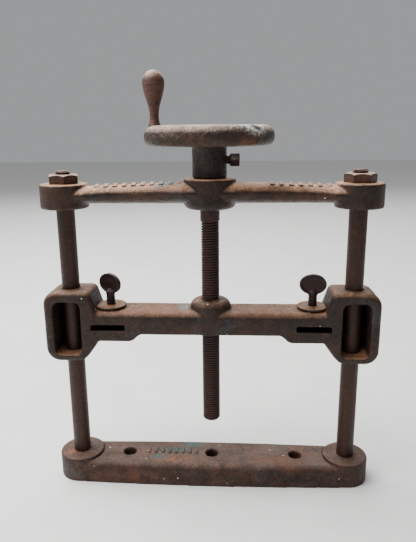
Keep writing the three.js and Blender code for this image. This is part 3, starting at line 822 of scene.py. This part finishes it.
def crank_handle():
    """The pear-shaped grip, with a stem that runs down into the rim and a flared foot that sits on it."""
    axis_x = (HANDLE_LOW.x + HANDLE_HIGH.x) / 2
    rim_top = WHEEL_HIGH.z
    height = HANDLE_HIGH.z - rim_top
    widest = (HANDLE_HIGH.x - HANDLE_LOW.x) / 2
    crown, arcs = 11.2, 12
    belly = height - crown
    stem = [(0, -12), (3.1, -12), (3.1, -1.2), (5.1, -1.0), (5.3, 0.2), (4.9, 1.3), (4.4, 2.6), (3.95, 5.2),
            (3.8, 8), (4.05, 11.5), (4.9, 16), (6.2, 20), (7.5, 24.2), (8.6, 28.4)]
    profile = [(r, rim_top + z) for r, z in stem]
    profile.append((9.2, rim_top + belly - 1))
    for i in range(1, arcs):
        a = i / arcs * math.pi / 2
        profile.append((widest * math.cos(a), rim_top + belly + crown * math.sin(a)))
    profile.append((0, HANDLE_HIGH.z))
    return moved(rough_cast(spun(profile, 64), wave=6, depth=0.12, seed=5), axis_x)


# Rods, screw and fasteners


def guide_rod():
    """A rod with a shoulder at each end, where a threaded stud goes on through the casting to its nut."""
    shoulder = BASE_BOSS_Z + 0.1
    neck = END_FOOT_Z - 0.1
    shaft = rod(ROD_R, shoulder, neck, 64, 0.5)
    lower = helix(STUD_R, STUD_DEPTH, STUD_PITCH, ROD_LOW.z, shoulder + 1)
    upper = helix(STUD_R, STUD_DEPTH, STUD_PITCH, neck - 1, ROD_HIGH.z - 0.6)
    tip = spun([(0, ROD_HIGH.z - 4), (STUD_R - 1.2, ROD_HIGH.z - 4), (STUD_R - 0.7, ROD_HIGH.z - 0.7),
                (STUD_R - 1.5, ROD_HIGH.z), (0, ROD_HIGH.z)], 48)
    return combined([shaft, lower, upper, tip])


def nut(low):
    """A hexagon nut whose crown was turned to a cone, which leaves curved edges at its corners."""
    flats, height = 23.8, 7.7
    corner = flats / math.sqrt(3)
    bm = bmesh.new()
    bmesh.ops.create_cone(bm, cap_ends=True, segments=6, radius1=corner, radius2=corner, depth=height)
    bmesh.ops.translate(bm, vec=(0, 0, height / 2), verts=bm.verts)
    turned(bm, 30, "Z")
    crown = spun([(0, -1), (corner + 2, -1), (corner + 2, height - 2.6), (flats / 2 - 0.6, height),
                  (0, height)], 96)
    bm = common(bm, crown)
    bore = spun([(0, -1), (STUD_HOLE_R, -1), (STUD_HOLE_R, height - 0.8), (STUD_R + 1.3, height + 0.2),
                 (STUD_R + 1.3, height + 1), (0, height + 1)], 48)
    bm = cut(bm, [bore])
    sharp = [e for e in bm.edges if e.is_manifold and e.calc_face_angle() > math.radians(25)]
    rounded(bm, sharp, 0.25, 2)
    return moved(bm, 0, 0, low)


def lead_screw():
    """The screw: a blunt nose, the thread, a shoulder under the top bar and a journal up into the hub."""
    foot = SCREW_LOW.z
    plain = CENTRE_FOOT_Z - 0.3
    thread = helix(THREAD_R, THREAD_DEPTH, THREAD_PITCH, foot + 1.8, plain - SHOULDER_H + 0.5)
    nose = spun([(0, foot), (5.6, foot), (6.8, foot + 0.5), (7.4, foot + 1.5), (6.3, foot + 2.6),
                 (6.3, foot + 6), (0, foot + 6)], 64)
    shoulder = rod(SHOULDER_R, plain - SHOULDER_H, plain, 64, 0.35)
    journal = rod(JOURNAL_R, plain - 1, SCREW_HIGH.z, 64, 0.8)
    return combined([thread, nose, shoulder, journal])


def set_screw():
    """The square-headed screw that holds the wheel's hub."""
    mid = (SET_LOW.z + SET_HIGH.z) / 2
    tip, end = SET_LOW.x, SET_HIGH.x
    thread = helix(3.7, SMALL_DEPTH, SMALL_PITCH, tip, 15.6)
    neck = spun([(0, 14), (3.3, 14), (3.1, 15.4), (3.5, 16.6), (4.6, 17.8), (0, 17.8)], 40)
    flats, head_foot = 7.9, 17.4
    head = block((flats, flats, end - head_foot), (0, 0, (end + head_foot) / 2))
    turned(head, 45, "Z")
    rounded(head, head.edges[:], 0.7, 3)
    return moved(turned(combined([thread, neck, head]), 90, "Y"), 0, 0, mid)


def thumb_screw(node):
    """A screw whose flat oval head is dished on both faces for the finger and thumb."""
    low, high = box_mm(node)
    head_h, head_w, thick = 18.4, 24.0, 3.6
    mid = high.z - head_h / 2
    head = bmesh.new()
    bmesh.ops.create_cone(head, cap_ends=True, segments=64, radius1=1, radius2=1, depth=thick)
    bmesh.ops.scale(head, vec=(head_w / 2, head_h / 2, 1), verts=head.verts)
    faces = [f for f in head.faces if len(f.verts) > 4]
    bmesh.ops.inset_region(head, faces=faces, thickness=1.6, depth=0, use_even_offset=True)
    bmesh.ops.inset_region(head, faces=faces, thickness=1.2, depth=-0.8, use_even_offset=True)
    turned(head, 90, "X")
    moved(head, 0, 0, mid)
    foot = mid - head_h / 2
    neck = spun([(0, foot - 3.4), (3.5, foot - 3.4), (3.6, foot - 2), (4.3, foot), (4.0, foot + 2),
                 (2.2, foot + 4), (0, foot + 5)], 40)
    grip = fused([head, neck], GRIP_SKIN, 3)
    thread = helix(3.95, SMALL_DEPTH, SMALL_PITCH, low.z, foot - 2.6, 32)
    return combined([grip, thread])


def build():
    """Makes every piece. The nuts and thumb screws stand at the turns, in degrees, where they were left."""
    finished("base", base_casting(), "frame", ["base_casting"], [BASE_IRON])
    finished("top_crossbar", top_bar(), "frame", ["top_bar"], [BAR_IRON])
    finished("travelling_head", crosshead(), "carriage", ["crosshead"], [HEAD_IRON, SLOT_PAINTED_SHADE])
    finished("wheel", handwheel(), "screw", ["handwheel"], [WHEEL_IRON])
    finished("handle", crank_handle(), "handle", ["crank_handle"], [HANDLE_IRON], 60)
    finished("screw", lead_screw(), "screw", ["lead_screw"], [SCREW_STEEL])
    finished("wheel_set_screw", set_screw(), "screw", ["hub_set_screw"], [THUMB_STEEL])
    for side, name, nut_turn, thumb_turn in ((-1, "left", -11, -31), (1, "right", -5, 0)):
        x = side * ROD_X
        finished(f"rod_{name}", moved(guide_rod(), x), "frame", [f"guide_rod_{name}"], [ROD_STEEL])
        for place in ("rod_nut", "base_nut"):
            node = f"{place}_{name}"
            piece = moved(turned(nut(box_mm(node)[0].z), nut_turn, "Z"), x)
            finished(f"{node}_hex", piece, "frame", [node], [NUT_STEEL])
        node = f"thumb_screw_{name}"
        piece = moved(turned(thumb_screw(node), thumb_turn, "Z"), side * SLOT_X)
        finished(f"thumb_{name}_oval", piece, f"thumb_{name}", [node], [THUMB_STEEL])


build()


# Floor, light and camera


def floor():
    """A pale table top."""
    bm = bmesh.new()
    bmesh.ops.create_grid(bm, x_segments=1, y_segments=1, size=6.0)
    obj = as_object("floor", bm)
    material, tree, shader, place = surface("pale painted board", 0.0, 0.7)
    shade = patches(tree, place, 60, 0.3, 0.7, 5.0)
    tree.links.new(over(tree, shade, linear("e2e2df"), linear("eaeae7")), shader.inputs["Base Color"])
    obj.data.materials.append(material)


def light(name, place, target, size, power):
    """A rectangular lamp that faces a target. Its size is in metres and its power in watts."""
    data = bpy.data.lights.new(name, "AREA")
    data.shape = "RECTANGLE"
    data.size, data.size_y = size
    data.energy = power
    obj = bpy.data.objects.new(name, data)
    obj.location = place
    obj.rotation_euler = (Vector(target) - Vector(place)).to_track_quat("-Z", "Y").to_euler()
    bpy.context.scene.collection.objects.link(obj)


def world():
    """An even pale surround."""
    sky = bpy.data.worlds.new("studio")
    sky.use_nodes = True
    background = sky.node_tree.nodes["Background"]
    background.inputs["Color"].default_value = linear("e6e8ea")
    background.inputs["Strength"].default_value = 0.45
    bpy.context.scene.world = sky


# Camera: the focal length as a share of the sensor's height, the eye in millimetres, the aim in degrees
SENSOR_HEIGHT = 36.0
LENS_SHARE = 1.00535
EYE = (24.84, -469.35, 322.36)
YAW, PITCH, ROLL = -3.29, 14.241, -0.5547


def camera():
    """The camera. It starts looking straight down and is rolled, tilted up and then turned about Z."""
    data = bpy.data.cameras.new("camera")
    data.sensor_fit = "VERTICAL"
    data.sensor_height = SENSOR_HEIGHT
    data.lens = SENSOR_HEIGHT * LENS_SHARE
    data.clip_start = 0.01
    data.clip_end = 50.0
    obj = bpy.data.objects.new("camera", data)
    turn = Matrix.Rotation(math.radians(-YAW), 4, "Z")
    tilt = Matrix.Rotation(math.radians(90 - PITCH), 4, "X")
    roll = Matrix.Rotation(math.radians(ROLL), 4, "Z")
    obj.matrix_world = Matrix.Translation(Vector(EYE) * MM) @ turn @ tilt @ roll
    bpy.context.scene.collection.objects.link(obj)
    bpy.context.scene.camera = obj


floor()
world()
light("overhead", (-0.65, 0.0, 1.4), (0, 0, 0.15), (1.3, 1.3), 58)
light("back_sky", (-0.2, 1.7, 1.55), (0, 0, 0.25), (2.4, 1.1), 32)
camera()
